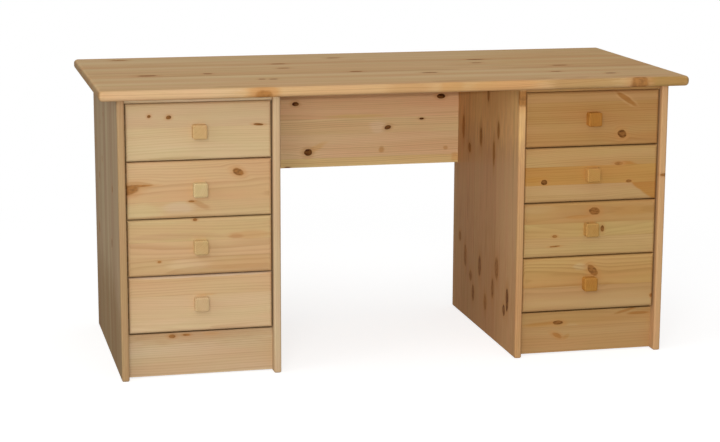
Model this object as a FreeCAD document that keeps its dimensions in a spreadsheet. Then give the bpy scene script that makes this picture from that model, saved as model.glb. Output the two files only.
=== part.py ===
import FreeCAD, Part
import os
import re
import Sketcher

# A pine pedestal desk, built board by board: a glued-up top, two pedestals of drawers and a modesty panel.
# The origin is on the floor under the middle of the top; X runs along the desk and Y from front to back.

# Driving dimensions in millimetres
SIZES = {
    # desk top
    "desk_width": 1540,
    "desk_depth": 700,
    "desk_height": 745,
    "top_thickness": 26,
    "top_corner_radius": 12,
    "top_edge_radius": 10,
    "side_overhang": 46,
    "front_overhang": 30,
    # pedestals
    "pedestal_width": 410,
    "pedestal_depth": 600,
    "panel_thickness": 19,
    "panel_edge_radius": 5,
    "foot_edge_radius": 4,
    "rail_thickness": 11.5,
    "rail_width": 70,
    "rail_setback": 18,
    "rail_drawer_gap": 1,
    "plinth_height": 111,
    "plinth_setback": 30,
    "plinth_thickness": 18,
    "plinth_floor_gap": 3,
    "plinth_drawer_gap": 7,
    "bottom_panel_thickness": 12,
    "bottom_panel_housing": 6,
    "back_panel_thickness": 6,
    "back_panel_rabbet": 10,
    "back_panel_play": 0.5,
    # modesty panel between the pedestals
    "modesty_height": 285,
    "modesty_thickness": 18,
    "modesty_inset": 35,
    # drawer runners, let into the pedestal sides
    "runner_height": 16,
    "runner_rise": 60,
    "runner_housing": 4,
    "runner_groove_depth": 8,
    "runner_groove_stop": 40,
    "runner_side_play": 1,
    "runner_top_play": 0.3,
    "runner_under_play": 0.7,
    "runner_end_play": 0.5,
    # drawer fronts and boxes
    "front_thickness": 22,
    "front_setback": 10,
    "front_gap": 2.5,
    "front_edge_radius": 8,
    "drawer_rear_gap": 24,
    "side_thickness": 14,
    "side_rise": 6,
    "side_drop": 20.5,
    "tail_length": 12,
    "tail_width": 26,
    "tail_flare": 2.4,
    "drawer_bottom_thickness": 4,
    "drawer_bottom_rise": 20,
    "drawer_bottom_groove": 6,
    "drawer_bottom_play": 0.5,
    "drawer_back_thickness": 12,
    "drawer_back_inset": 15,
    "drawer_back_housing": 5,
    # knobs
    "knob_width": 36,
    "knob_projection": 24,
    "knob_corner_radius": 5,
    "knob_edge_radius": 4,
    "knob_tenon_diameter": 12,
    "knob_tenon_length": 15,
    # dowels and screws
    "dowel_diameter": 6,
    "dowel_length": 30,
    "dowel_in_panel": 12,
    "rail_dowel_spacing": 36,
    "hole_extra_depth": 1,
    "hole_play": 0.2,
    "screw_diameter": 4,
    "screw_head_diameter": 8,
    "screw_length": 24,
}

DRAWERS = 4
TAILS = 3
PEDESTALS = ("left", "right")
COUNTERSINK_ANGLE = 90

# Places along a board, as shares of its length
SCREW_SHARES = (0.25, 0.75)
PLINTH_DOWEL_SHARES = (0.25, 0.75)
MODESTY_DOWEL_SHARES = (0.15, 0.5, 0.85)

# Places and sizes that follow from the driving dimensions
PANEL_HEIGHT = "(desk_height - top_thickness)"
PEDESTAL_FRONT = "(front_overhang - desk_depth / 2)"
PEDESTAL_LEFT = {
    "left": "(side_overhang - desk_width / 2)",
    "right": "(desk_width / 2 - side_overhang - pedestal_width)",
}
KNEE_WIDTH = "(desk_width - 2 * side_overhang - 2 * pedestal_width)"
OPENING_WIDTH = "(pedestal_width - 2 * panel_thickness)"
BACK_PANEL_FACE = "(pedestal_depth - back_panel_thickness)"
RAIL_BASE = f"({PANEL_HEIGHT} - rail_thickness)"
REAR_RAIL_FRONT = f"({BACK_PANEL_FACE} - rail_width)"
PLINTH_TOP = "(plinth_floor_gap + plinth_height)"
LOWEST_DRAWER = f"({PLINTH_TOP} + plinth_drawer_gap)"
DRAWER_STACK_TOP = f"({RAIL_BASE} - rail_drawer_gap + front_gap)"
DRAWER_PITCH = f"(({DRAWER_STACK_TOP} - {LOWEST_DRAWER}) / {DRAWERS})"
PLINTH_BACK = "(plinth_setback + plinth_thickness)"
BOTTOM_PANEL_BASE = f"({PLINTH_TOP} - bottom_panel_thickness)"
MODESTY_FRONT = "(pedestal_depth - modesty_inset)"
MODESTY_BASE = f"({PANEL_HEIGHT} - modesty_height)"

FRONT_WIDTH = f"({OPENING_WIDTH} - 2 * front_gap)"
FRONT_HEIGHT = f"({DRAWER_PITCH} - front_gap)"
DRAWER_DEPTH = f"({BACK_PANEL_FACE} - front_setback - drawer_rear_gap)"
SIDE_TOP = f"({FRONT_HEIGHT} - side_drop)"
SIDE_HEIGHT = f"({SIDE_TOP} - side_rise)"
TAIL_PITCH = f"({SIDE_HEIGHT} / {TAILS})"
FIRST_TAIL = f"(side_rise + {TAIL_PITCH} / 2)"
GROOVE_START = "(front_thickness + runner_groove_stop)"
BOTTOM_TOP = "(drawer_bottom_rise + drawer_bottom_thickness)"
DRAWER_BACK_FRONT = f"({DRAWER_DEPTH} - drawer_back_inset - drawer_back_thickness)"

RUNNER_FRONT = f"(front_setback + {GROOVE_START} + runner_end_play)"
RUNNER_LENGTH = f"(front_setback + {DRAWER_DEPTH} - {RUNNER_FRONT})"
RUNNER_REACH = "(front_gap + runner_groove_depth - runner_side_play)"
LOWEST_RUNNER = f"({LOWEST_DRAWER} + runner_rise)"

HOLE_DIAMETER = "(dowel_diameter + hole_play)"
PANEL_HOLE_DEPTH = "(dowel_in_panel + hole_extra_depth)"
BOARD_HOLE_DEPTH = "(dowel_length - dowel_in_panel + hole_extra_depth)"
SCREW_HOLE_DIAMETER = "(screw_diameter + hole_play)"
SCREW_IN_TOP = "(screw_length - rail_thickness)"


def shifted(points, depth, height):
    """Places in a board's end, counted from a frame that lies that far in front of and below the board."""
    return [(f"{depth} + {y}", f"{height} + {z}") for y, z in points]


# Dowel places in a board's end, as depth and height from the board's own lower front edge
RAIL_DOWELS = [
    ("rail_width / 2 - rail_dowel_spacing / 2", "rail_thickness / 2"),
    ("rail_width / 2 + rail_dowel_spacing / 2", "rail_thickness / 2"),
]
PLINTH_DOWELS = [("plinth_thickness / 2", f"plinth_height * {share}") for share in PLINTH_DOWEL_SHARES]
MODESTY_DOWELS = [("modesty_thickness / 2", f"modesty_height * {share}") for share in MODESTY_DOWEL_SHARES]

# The same places counted from the pedestal's lower front edge
CARCASS_JOINTS = [
    *shifted(RAIL_DOWELS, "rail_setback", RAIL_BASE),
    *shifted(RAIL_DOWELS, REAR_RAIL_FRONT, RAIL_BASE),
    *shifted(PLINTH_DOWELS, "plinth_setback", "plinth_floor_gap"),
]
MODESTY_JOINTS = shifted(MODESTY_DOWELS, MODESTY_FRONT, MODESTY_BASE)

doc = FreeCAD.newDocument("pedestal_desk")
sheet = doc.addObject("Spreadsheet::Sheet", "sizes")
for row, (alias, value) in enumerate(SIZES.items(), start=1):
    sheet.set(f"A{row}", alias)
    sheet.set(f"B{row}", str(value))
    sheet.setAlias(f"B{row}", alias)
doc.recompute()


def formula(text):
    """Turns the size names in a formula into references to the sheet's cells."""
    return re.sub(r"[a-z_]+", lambda word: f"sizes.{word[0]}" if word[0] in SIZES else word[0], text)


def measure(text):
    """The present value of a formula, for a sketch's first guess."""
    return float(sheet.evalExpression(formula(text)))


def place(thing, x, y, z):
    """Ties an object's place to formulas."""
    for axis, text in zip("xyz", (x, y, z)):
        thing.setExpression(f"Placement.Base.{axis}", formula(text))
    return thing


# Sketches and features
def new_body(name):
    body = doc.addObject("PartDesign::Body", name)
    body.Label = name
    return body


def new_sketch(body, name, plane, offset="0"):
    """An empty sketch on one of the body's own planes, moved along the plane's normal by the offset."""
    sketch = body.newObject("Sketcher::SketchObject", f"{body.Name}_{name}_outline")
    base = next(feature for feature in body.Origin.OriginFeatures if feature.Role == plane)
    sketch.AttachmentSupport = [(base, "")]
    sketch.MapMode = "FlatFace"
    sketch.setExpression("AttachmentOffset.Base.z", formula(offset))
    return sketch


def tie(sketch, kind, first, first_point, second, second_point, text):
    """Adds a distance constraint whose value follows a formula."""
    value = measure(text)
    number = sketch.addConstraint(Sketcher.Constraint(kind, first, first_point, second, second_point, value))
    sketch.setExpression(f"Constraints[{number}]", formula(text))


def add_polygon(sketch, corners):
    """Draws a closed outline and ties each corner to its formulas."""
    points = [FreeCAD.Vector(measure(across), measure(up), 0) for across, up in corners]
    first = sketch.GeometryCount
    for start, end in zip(points, points[1:] + points[:1]):
        sketch.addGeometry(Part.LineSegment(start, end))
    for index, (across, up) in enumerate(corners):
        line = first + index
        following = first + (index + 1) % len(corners)
        sketch.addConstraint(Sketcher.Constraint("Coincident", line, 2, following, 1))
        tie(sketch, "DistanceX", -1, 1, line, 1, across)
        tie(sketch, "DistanceY", -1, 1, line, 1, up)


def add_rectangle(sketch, left, low, width, height):
    right = f"{left} + {width}"
    top = f"{low} + {height}"
    add_polygon(sketch, [(left, low), (right, low), (right, top), (left, top)])


def add_circle(sketch, across, up, diameter):
    centre = FreeCAD.Vector(measure(across), measure(up), 0)
    index = sketch.GeometryCount
    sketch.addGeometry(Part.Circle(centre, FreeCAD.Vector(0, 0, 1), measure(diameter) / 2))
    tie(sketch, "DistanceX", -1, 1, index, 3, across)
    tie(sketch, "DistanceY", -1, 1, index, 3, up)
    number = sketch.addConstraint(Sketcher.Constraint("Diameter", index, measure(diameter)))
    sketch.setExpression(f"Constraints[{number}]", formula(diameter))


def raise_from(body, kind, sketch, length, backwards):
    """Pads or pockets a sketch; backwards turns it round."""
    feature = body.newObject(f"PartDesign::{kind}", sketch.Name.replace("_outline", f"_{kind.lower()}"))
    feature.Profile = sketch
    feature.Reversed = backwards
    feature.setExpression("Length", formula(length))
    return feature


def pad(body, sketch, length, backwards=False):
    return raise_from(body, "Pad", sketch, length, backwards)


def pocket(body, sketch, depth, backwards=False):
    return raise_from(body, "Pocket", sketch, depth, backwards)


def repeat_upwards(body, feature, spacing, count):
    """Repeats a feature up the body's own Z axis."""
    pattern = body.newObject("PartDesign::LinearPattern", f"{feature.Name}_row")
    pattern.Originals = [feature]
    axis = next(item for item in body.Origin.OriginFeatures if item.Role == "Z_Axis")
    pattern.Direction = (axis, [""])
    pattern.Mode = "Spacing"
    pattern.Occurrences = count
    pattern.setExpression("Offset", formula(spacing))
    body.Tip = pattern
    return pattern


def same(value, target):
    """Whether two lengths are equal, apart from rounding."""
    return abs(value - target) < 1e-6


def names_where(feature, kind, test):
    """Names of a feature's edges or faces whose bounding box passes a test."""
    doc.recompute()
    elements = feature.Shape.Edges if kind == "Edge" else feature.Shape.Faces
    return [f"{kind}{number}" for number, element in enumerate(elements, start=1) if test(element.BoundBox)]


def round_edges(body, feature, kind, test, radius):
    """Rounds the edges, or all the edges of the faces, whose bounding box passes a test."""
    names = names_where(feature, kind, test)
    fillet = body.newObject("PartDesign::Fillet", f"{feature.Name}_rounding")
    fillet.Base = (feature, names)
    fillet.setExpression("Radius", formula(radius))
    return fillet


def cut_side(body, name, across, up, width, height, depth, face):
    """Cuts a rectangle into a board's low or high X face; a high face is given by its own X."""
    sketch = new_sketch(body, name, "YZ_Plane", face)
    add_rectangle(sketch, across, up, width, height)
    return pocket(body, sketch, depth, backwards=face == "0")


def drill_side(body, name, points, depth, face):
    """Drills dowel holes into a board's low or high X face."""
    sketch = new_sketch(body, name, "YZ_Plane", face)
    for across, up in points:
        add_circle(sketch, across, up, HOLE_DIAMETER)
    return pocket(body, sketch, depth, backwards=face == "0")


def board(name, length, width, height):
    """A plain rectangular board."""
    box = doc.addObject("Part::Box", name)
    box.Label = name
    box.setExpression("Length", formula(length))
    box.setExpression("Width", formula(width))
    box.setExpression("Height", formula(height))
    return box


def group(name, members):
    """Separate solids that share one node."""
    compound = doc.addObject("Part::Compound", name)
    compound.Label = name
    compound.Links = members
    return compound


# Desk top and modesty panel
def screw_places(pedestal):
    """Where the screws rise through a pedestal's two rails into the top."""
    places = []
    for rail_front in ("rail_setback", REAR_RAIL_FRONT):
        for share in SCREW_SHARES:
            x = f"{PEDESTAL_LEFT[pedestal]} + panel_thickness + {OPENING_WIDTH} * {share}"
            places.append((x, f"{PEDESTAL_FRONT} + {rail_front} + rail_width / 2"))
    return places


def make_desk_top():
    body = new_body("desk_top")
    outline = new_sketch(body, "slab", "XY_Plane")
    add_rectangle(outline, "-desk_width / 2", "-desk_depth / 2", "desk_width", "desk_depth")
    slab = pad(body, outline, "top_thickness")
    corners = round_edges(body, slab, "Edge", lambda box: box.ZLength > box.XLength + box.YLength,
                          "top_corner_radius")
    round_edges(body, corners, "Face", lambda box: same(box.ZLength, 0), "top_edge_radius")
    pilots = new_sketch(body, "pilots", "XY_Plane")
    for pedestal in PEDESTALS:
        for x, y in screw_places(pedestal):
            add_circle(pilots, x, y, SCREW_HOLE_DIAMETER)
    pocket(body, pilots, f"{SCREW_IN_TOP} + hole_extra_depth", backwards=True)
    return place(body, "0", "0", PANEL_HEIGHT)


def make_modesty_panel():
    body = new_body("modesty_panel")
    outline = new_sketch(body, "face", "YZ_Plane")
    add_rectangle(outline, "0", "0", "modesty_thickness", "modesty_height")
    pad(body, outline, KNEE_WIDTH)
    drill_side(body, "left_dowels", MODESTY_DOWELS, BOARD_HOLE_DEPTH, "0")
    drill_side(body, "right_dowels", MODESTY_DOWELS, BOARD_HOLE_DEPTH, KNEE_WIDTH)
    return place(body, f"-{KNEE_WIDTH} / 2", f"{PEDESTAL_FRONT} + {MODESTY_FRONT}", MODESTY_BASE)


# Pedestal boards, in a frame whose origin is the pedestal's lower front left corner
def put_in(pedestal, thing, x, y, z):
    return place(thing, f"{PEDESTAL_LEFT[pedestal]} + {x}", f"{PEDESTAL_FRONT} + {y}", z)


def make_side(pedestal, place_name, x, inner_face, outer_face, meets_modesty):
    """One upright side, housed for the bottom, back and runners on the face towards the drawers."""
    body = new_body(f"{pedestal}_{place_name}_side")
    outline = new_sketch(body, "face", "YZ_Plane")
    add_rectangle(outline, "0", "0", "pedestal_depth", PANEL_HEIGHT)
    face = pad(body, outline, "panel_thickness")
    front = round_edges(body, face, "Edge", lambda box: same(box.YMax, 0) and box.ZLength > box.XLength,
                        "panel_edge_radius")
    round_edges(body, front, "Face", lambda box: same(box.ZMax, 0), "foot_edge_radius")
    cut_side(body, "rabbet", BACK_PANEL_FACE, "0", "back_panel_thickness", PANEL_HEIGHT,
             "back_panel_rabbet", inner_face)
    housing_length = f"({BACK_PANEL_FACE} - {PLINTH_BACK})"
    cut_side(body, "bottom_housing", PLINTH_BACK, BOTTOM_PANEL_BASE, housing_length,
             "bottom_panel_thickness", "bottom_panel_housing", inner_face)
    housing = cut_side(body, "runner_housing", RUNNER_FRONT, LOWEST_RUNNER, RUNNER_LENGTH,
                       "runner_height", "runner_housing", inner_face)
    repeat_upwards(body, housing, DRAWER_PITCH, DRAWERS)
    drill_side(body, "dowels", CARCASS_JOINTS, PANEL_HOLE_DEPTH, inner_face)
    if meets_modesty:
        drill_side(body, "modesty_dowels", MODESTY_JOINTS, PANEL_HOLE_DEPTH, outer_face)
    return put_in(pedestal, body, x, "0", "0")


def make_rail(pedestal, place_name, y):
    """A flat rail under the top, dowelled between the sides and drilled for two screws."""
    body = new_body(f"{pedestal}_{place_name}_rail")
    outline = new_sketch(body, "end", "YZ_Plane")
    add_rectangle(outline, "0", "0", "rail_width", "rail_thickness")
    pad(body, outline, OPENING_WIDTH)
    drill_side(body, "left_dowels", RAIL_DOWELS, BOARD_HOLE_DEPTH, "0")
    drill_side(body, "right_dowels", RAIL_DOWELS, BOARD_HOLE_DEPTH, OPENING_WIDTH)
    centres = new_sketch(body, "screws", "XY_Plane")
    for share in SCREW_SHARES:
        add_circle(centres, f"{OPENING_WIDTH} * {share}", "rail_width / 2", SCREW_HOLE_DIAMETER)
    doc.recompute()
    hole = body.newObject("PartDesign::Hole", f"{body.Name}_screw_holes")
    hole.Profile = centres
    hole.Reversed = True
    hole.DepthType = "ThroughAll"
    hole.Threaded = False
    hole.HoleCutType = "Countersink"
    hole.HoleCutCustomValues = True
    hole.HoleCutCountersinkAngle = COUNTERSINK_ANGLE
    hole.setExpression("Diameter", formula(SCREW_HOLE_DIAMETER))
    hole.setExpression("HoleCutDiameter", formula("screw_head_diameter + hole_play"))
    return put_in(pedestal, body, "panel_thickness", y, RAIL_BASE)


def make_plinth(pedestal):
    body = new_body(f"{pedestal}_plinth")
    outline = new_sketch(body, "end", "YZ_Plane")
    add_rectangle(outline, "0", "0", "plinth_thickness", "plinth_height")
    pad(body, outline, OPENING_WIDTH)
    drill_side(body, "left_dowels", PLINTH_DOWELS, BOARD_HOLE_DEPTH, "0")
    drill_side(body, "right_dowels", PLINTH_DOWELS, BOARD_HOLE_DEPTH, OPENING_WIDTH)
    return put_in(pedestal, body, "panel_thickness", "plinth_setback", "plinth_floor_gap")


def make_bottom_panel(pedestal):
    width = f"{OPENING_WIDTH} + 2 * bottom_panel_housing"
    depth = f"{BACK_PANEL_FACE} - {PLINTH_BACK}"
    panel = board(f"{pedestal}_bottom_panel", width, depth, "bottom_panel_thickness")
    return put_in(pedestal, panel, "panel_thickness - bottom_panel_housing", PLINTH_BACK, BOTTOM_PANEL_BASE)


def make_back_panel(pedestal):
    inset = "(panel_thickness - back_panel_rabbet + back_panel_play)"
    height = f"{PANEL_HEIGHT} - plinth_floor_gap"
    panel = board(f"{pedestal}_back_panel", f"pedestal_width - 2 * {inset}", "back_panel_thickness", height)
    return put_in(pedestal, panel, inset, BACK_PANEL_FACE, "plinth_floor_gap")


def make_runners(pedestal):
    """Two strips for each drawer, one let into each side."""
    thickness = f"runner_housing + {RUNNER_REACH}"
    starts = {
        "left": "panel_thickness - runner_housing",
        "right": f"pedestal_width - panel_thickness - {RUNNER_REACH}",
    }
    strips = []
    for step in range(DRAWERS):
        for hand, x in starts.items():
            strip = board(f"{pedestal}_runner_{hand}_{step}", thickness, RUNNER_LENGTH, "runner_height")
            height = f"{LOWEST_RUNNER} + {step} * {DRAWER_PITCH}"
            strips.append(put_in(pedestal, strip, x, RUNNER_FRONT, height))
    return group(f"{pedestal}_drawer_runners", strips)


# Dowels and screws
def make_dowel(name, x, y, z):
    dowel = doc.addObject("Part::Cylinder", name)
    dowel.setExpression("Radius", formula("dowel_diameter / 2"))
    dowel.setExpression("Height", formula("dowel_length"))
    dowel.Placement = FreeCAD.Placement(FreeCAD.Vector(), FreeCAD.Rotation(FreeCAD.Vector(0, 1, 0), 90))
    return place(dowel, x, f"{PEDESTAL_FRONT} + {y}", z)


def dowel_pairs(name, left, right, joints):
    """A dowel at both ends of a board that runs from left to right between two panels."""
    starts = {"left": f"{left} - dowel_in_panel", "right": f"{right} + dowel_in_panel - dowel_length"}
    pairs = []
    for number, (y, z) in enumerate(joints, start=1):
        for hand, x in starts.items():
            pairs.append(make_dowel(f"{name}_dowel_{hand}_{number}", x, y, z))
    return pairs


def make_dowels():
    """Every dowel between two boards: rails and plinths to the sides, modesty panel to the inner sides."""
    dowels = []
    for pedestal in PEDESTALS:
        left = f"({PEDESTAL_LEFT[pedestal]} + panel_thickness)"
        dowels += dowel_pairs(pedestal, left, f"({left} + {OPENING_WIDTH})", CARCASS_JOINTS)
    dowels += dowel_pairs("modesty", f"(-{KNEE_WIDTH} / 2)", f"({KNEE_WIDTH} / 2)", MODESTY_JOINTS)
    return group("carcass_dowels", dowels)


def make_screw(name, x, y):
    """A countersunk wood screw that points up, turned from its half outline."""
    body = new_body(name)
    half = new_sketch(body, "half", "XZ_Plane")
    head = "screw_head_diameter / 2"
    shank = "screw_diameter / 2"
    add_polygon(half, [
        ("0", "0"),
        (head, "0"),
        (shank, f"{head} - {shank}"),
        (shank, "screw_length - screw_diameter"),
        ("0", "screw_length"),
    ])
    turned = body.newObject("PartDesign::Revolution", f"{name}_turned")
    turned.Profile = half
    turned.ReferenceAxis = (half, ["V_Axis"])
    turned.Angle = 360
    return place(body, x, y, RAIL_BASE)


def make_screws():
    screws = []
    for pedestal in PEDESTALS:
        for number, (x, y) in enumerate(screw_places(pedestal), start=1):
            screws.append(make_screw(f"{pedestal}_screw_{number}", x, y))
    return group("desk_top_screws", screws)


# Drawers, in a frame whose origin is the front's lower front left corner
def put_in_drawer(pedestal, level, thing, x, y, z):
    """Places a piece of a drawer; level 1 is the top one."""
    left = f"{PEDESTAL_LEFT[pedestal]} + panel_thickness + front_gap"
    front = f"{PEDESTAL_FRONT} + front_setback"
    low = f"{DRAWER_STACK_TOP} - {level} * {DRAWER_PITCH}"
    return place(thing, f"{left} + {x}", f"{front} + {y}", f"{low} + {z}")


def add_tail(sketch):
    """The lowest dovetail, widest at its end inside the front."""
    lap = "(front_thickness - tail_length)"
    half_wide = "tail_width / 2"
    half_narrow = "(tail_width / 2 - tail_flare)"
    add_polygon(sketch, [
        (lap, f"{FIRST_TAIL} - {half_wide}"),
        ("front_thickness", f"{FIRST_TAIL} - {half_narrow}"),
        ("front_thickness", f"{FIRST_TAIL} + {half_narrow}"),
        (lap, f"{FIRST_TAIL} + {half_wide}"),
    ])


def make_drawer_front(name):
    """An inset front with rounded edges, half-blind sockets at both ends and a groove for the bottom."""
    body = new_body(f"{name}_front")
    outline = new_sketch(body, "face", "XZ_Plane")
    add_rectangle(outline, "0", "0", FRONT_WIDTH, FRONT_HEIGHT)
    face = pad(body, outline, "front_thickness", backwards=True)
    round_edges(body, face, "Edge", lambda box: same(box.YMax, 0), "front_edge_radius")
    for hand, end in (("left", "0"), ("right", FRONT_WIDTH)):
        socket_outline = new_sketch(body, f"{hand}_socket", "YZ_Plane", end)
        add_tail(socket_outline)
        socket = pocket(body, socket_outline, "side_thickness", backwards=end == "0")
        repeat_upwards(body, socket, TAIL_PITCH, TAILS)
    groove = new_sketch(body, "bottom_groove", "XZ_Plane", "-front_thickness")
    groove_left = "(side_thickness - drawer_bottom_groove)"
    add_rectangle(groove, groove_left, "drawer_bottom_rise",
                  f"({FRONT_WIDTH} - 2 * {groove_left})", "drawer_bottom_thickness")
    pocket(body, groove, "drawer_bottom_groove", backwards=True)
    knob_hole = new_sketch(body, "knob_hole", "XZ_Plane")
    add_circle(knob_hole, f"{FRONT_WIDTH} / 2", f"{FRONT_HEIGHT} / 2", "knob_tenon_diameter + hole_play")
    pocket(body, knob_hole, "knob_tenon_length + hole_extra_depth")
    return body


def make_drawer_side(name):
    """The left side: three tails in front, grooves for the runner and the bottom, a housing for the back."""
    body = new_body(f"{name}_left_side")
    outline = new_sketch(body, "face", "YZ_Plane")
    length = f"({DRAWER_DEPTH} - front_thickness)"
    add_rectangle(outline, "front_thickness", "side_rise", length, SIDE_HEIGHT)
    pad(body, outline, "side_thickness")
    tail_outline = new_sketch(body, "tail", "YZ_Plane")
    add_tail(tail_outline)
    tail = pad(body, tail_outline, "side_thickness")
    repeat_upwards(body, tail, TAIL_PITCH, TAILS)
    groove_height = "(runner_height + runner_top_play + runner_under_play)"
    cut_side(body, "runner_groove", GROOVE_START, "(runner_rise - runner_under_play)",
             f"({DRAWER_DEPTH} - {GROOVE_START})", groove_height, "runner_groove_depth", "0")
    groove_front = "(front_thickness - drawer_bottom_groove)"
    cut_side(body, "bottom_groove", groove_front, "drawer_bottom_rise", f"({DRAWER_DEPTH} - {groove_front})",
             "drawer_bottom_thickness", "drawer_bottom_groove", "side_thickness")
    cut_side(body, "back_housing", DRAWER_BACK_FRONT, BOTTOM_TOP, "drawer_back_thickness",
             f"({SIDE_TOP} - {BOTTOM_TOP})", "drawer_back_housing", "side_thickness")
    return body


def make_knob(name):
    """A square block with rounded corners and edges, on a round tenon."""
    body = new_body(f"{name}_knob")
    outline = new_sketch(body, "face", "XZ_Plane")
    add_rectangle(outline, "-knob_width / 2", "-knob_width / 2", "knob_width", "knob_width")
    block = pad(body, outline, "knob_projection")
    corners = round_edges(body, block, "Edge", lambda box: box.YLength > box.XLength + box.ZLength,
                          "knob_corner_radius")
    face_place = -measure("knob_projection")
    round_edges(body, corners, "Face", lambda box: same(box.YMax, face_place), "knob_edge_radius")
    tenon = new_sketch(body, "tenon", "XZ_Plane")
    add_circle(tenon, "0", "0", "knob_tenon_diameter")
    pad(body, tenon, "knob_tenon_length", backwards=True)
    return body


def make_drawer(pedestal, level):
    """All the pieces of one drawer, as the nodes that are kept."""
    name = f"{pedestal}_drawer_{level}"
    front = put_in_drawer(pedestal, level, make_drawer_front(name), "0", "0", "0")
    left_side = put_in_drawer(pedestal, level, make_drawer_side(name), "0", "0", "0")
    right_side = doc.addObject("Part::Mirroring", f"{name}_right_side")
    right_side.Source = left_side
    right_side.Normal = FreeCAD.Vector(1, 0, 0)
    right_side.setExpression("Base.x", formula(f"{PEDESTAL_LEFT[pedestal]} + pedestal_width / 2"))
    sides = group(f"{name}_sides", [left_side, right_side])

    back_left = "(side_thickness - drawer_back_housing)"
    back = board(f"{name}_back", f"{FRONT_WIDTH} - 2 * {back_left}", "drawer_back_thickness",
                 f"{SIDE_TOP} - {BOTTOM_TOP}")
    put_in_drawer(pedestal, level, back, back_left, DRAWER_BACK_FRONT, BOTTOM_TOP)

    bottom_left = "(side_thickness - drawer_bottom_groove + drawer_bottom_play)"
    bottom_front = "(front_thickness - drawer_bottom_groove + drawer_bottom_play)"
    bottom = board(f"{name}_bottom", f"{FRONT_WIDTH} - 2 * {bottom_left}",
                   f"{DRAWER_DEPTH} - drawer_back_inset - {bottom_front}", "drawer_bottom_thickness")
    put_in_drawer(pedestal, level, bottom, bottom_left, bottom_front, "drawer_bottom_rise")

    knob = put_in_drawer(pedestal, level, make_knob(name), f"{FRONT_WIDTH} / 2", "0", f"{FRONT_HEIGHT} / 2")
    return [front, sides, back, bottom, knob]


# The whole desk
nodes = [make_desk_top(), make_modesty_panel()]
for pedestal in PEDESTALS:
    left_name, right_name = ("outer", "inner") if pedestal == "left" else ("inner", "outer")
    nodes.append(make_side(pedestal, left_name, "0", "panel_thickness", "0", left_name == "inner"))
    nodes.append(make_side(pedestal, right_name, "pedestal_width - panel_thickness", "0", "panel_thickness",
                           right_name == "inner"))
    nodes.append(make_rail(pedestal, "front", "rail_setback"))
    nodes.append(make_rail(pedestal, "rear", REAR_RAIL_FRONT))
    nodes.append(make_plinth(pedestal))
    nodes.append(make_bottom_panel(pedestal))
    nodes.append(make_back_panel(pedestal))
    nodes.append(make_runners(pedestal))
    for level in range(1, DRAWERS + 1):
        nodes.extend(make_drawer(pedestal, level))
nodes.append(make_dowels())
nodes.append(make_screws())
doc.recompute()

# Checks before anything is written
for thing in doc.Objects:
    if "Invalid" in thing.State or "Error" in thing.State:
        raise RuntimeError(f"{thing.Name} did not build: {thing.State}")
    if thing.TypeId == "PartDesign::Pocket" and thing.Shape.Volume >= thing.BaseFeature.Shape.Volume:
        raise RuntimeError(f"{thing.Name} cuts nothing")
for node in nodes:
    if node.Shape.isNull() or not node.Shape.isValid():
        raise RuntimeError(f"{node.Label} has no valid shape")

os.makedirs("parts", exist_ok=True)
for node in nodes:
    node.Shape.exportStep(f"parts/{node.Label}.step")
print(f"{len(nodes)} nodes, {sum(len(node.Shape.Solids) for node in nodes)} solids")
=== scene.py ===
import math
import random
from collections import namedtuple

import bpy
from mathutils import Color, Matrix, Vector


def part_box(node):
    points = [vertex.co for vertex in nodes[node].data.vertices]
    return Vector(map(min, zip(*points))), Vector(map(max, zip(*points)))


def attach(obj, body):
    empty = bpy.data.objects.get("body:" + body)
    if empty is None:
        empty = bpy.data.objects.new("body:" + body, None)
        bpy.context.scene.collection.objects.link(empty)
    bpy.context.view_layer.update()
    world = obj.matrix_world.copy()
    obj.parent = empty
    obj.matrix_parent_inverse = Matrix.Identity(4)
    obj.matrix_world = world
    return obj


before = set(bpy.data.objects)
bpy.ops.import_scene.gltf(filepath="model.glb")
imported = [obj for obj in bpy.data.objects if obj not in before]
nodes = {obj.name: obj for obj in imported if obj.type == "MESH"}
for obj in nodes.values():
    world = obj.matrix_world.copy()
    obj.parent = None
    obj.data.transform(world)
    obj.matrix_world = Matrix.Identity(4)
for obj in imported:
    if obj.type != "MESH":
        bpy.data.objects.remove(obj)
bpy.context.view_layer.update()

MM = 0.001
AXES = "xyz"
SIDES = ("left", "right")
DRAWERS = (1, 2, 3, 4)

# The camera, in metres and degrees: it stands left of the desk's middle and looks a little down.
CAMERA_PLACE = Vector((-1.2149, -5.0163, 1.368))
CAMERA_YAW = 13.26
CAMERA_PITCH = -11.456
CAMERA_ROLL = 0.22
CAMERA_LENS = 96.127
CAMERA_SENSOR = 36.0
# A small lamp sits this far above the lens, so that the desktop's edge throws a thin shadow behind it.
CAMERA_LAMP_HEIGHT = 0.076
# Where the lamps point, in metres.
LAMP_AIM = (0.0, 0.0, 0.4)
LEFT_LAMP_AIM = (0.0, 0.0, 0.5)


def screen(red, green, blue):
    """A colour as it looks on screen, each part from 0 to 255, as the light values that a shader takes."""
    full = 255
    light = Color((red / full, green / full, blue / full)).from_srgb_to_scene_linear()
    return (*light, 1.0)


# Pine by tone: the pale sapwood, the warmer heartwood and the dark late growth of each year's ring.
Tone = namedtuple("Tone", "pale warm ring")
STRAW = Tone(screen(206, 184, 150), screen(197, 164, 126), screen(163, 123, 80))
WHEAT = Tone(screen(214, 184, 138), screen(206, 165, 117), screen(170, 124, 74))
FAWN = Tone(screen(231, 203, 154), screen(219, 176, 128), screen(174, 127, 79))
HONEY = Tone(screen(193, 162, 110), screen(181, 137, 84), screen(144, 100, 53))
AMBER = Tone(screen(184, 145, 94), screen(174, 127, 73), screen(137, 90, 44))
ROSE = Tone(screen(206, 164, 117), screen(199, 153, 108), screen(158, 110, 67))
BROWN = Tone(screen(188, 166, 130), screen(174, 144, 109), screen(137, 102, 69))
WHITEWOOD = Tone(screen(222, 198, 158), screen(214, 184, 140), screen(188, 150, 104))

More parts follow.
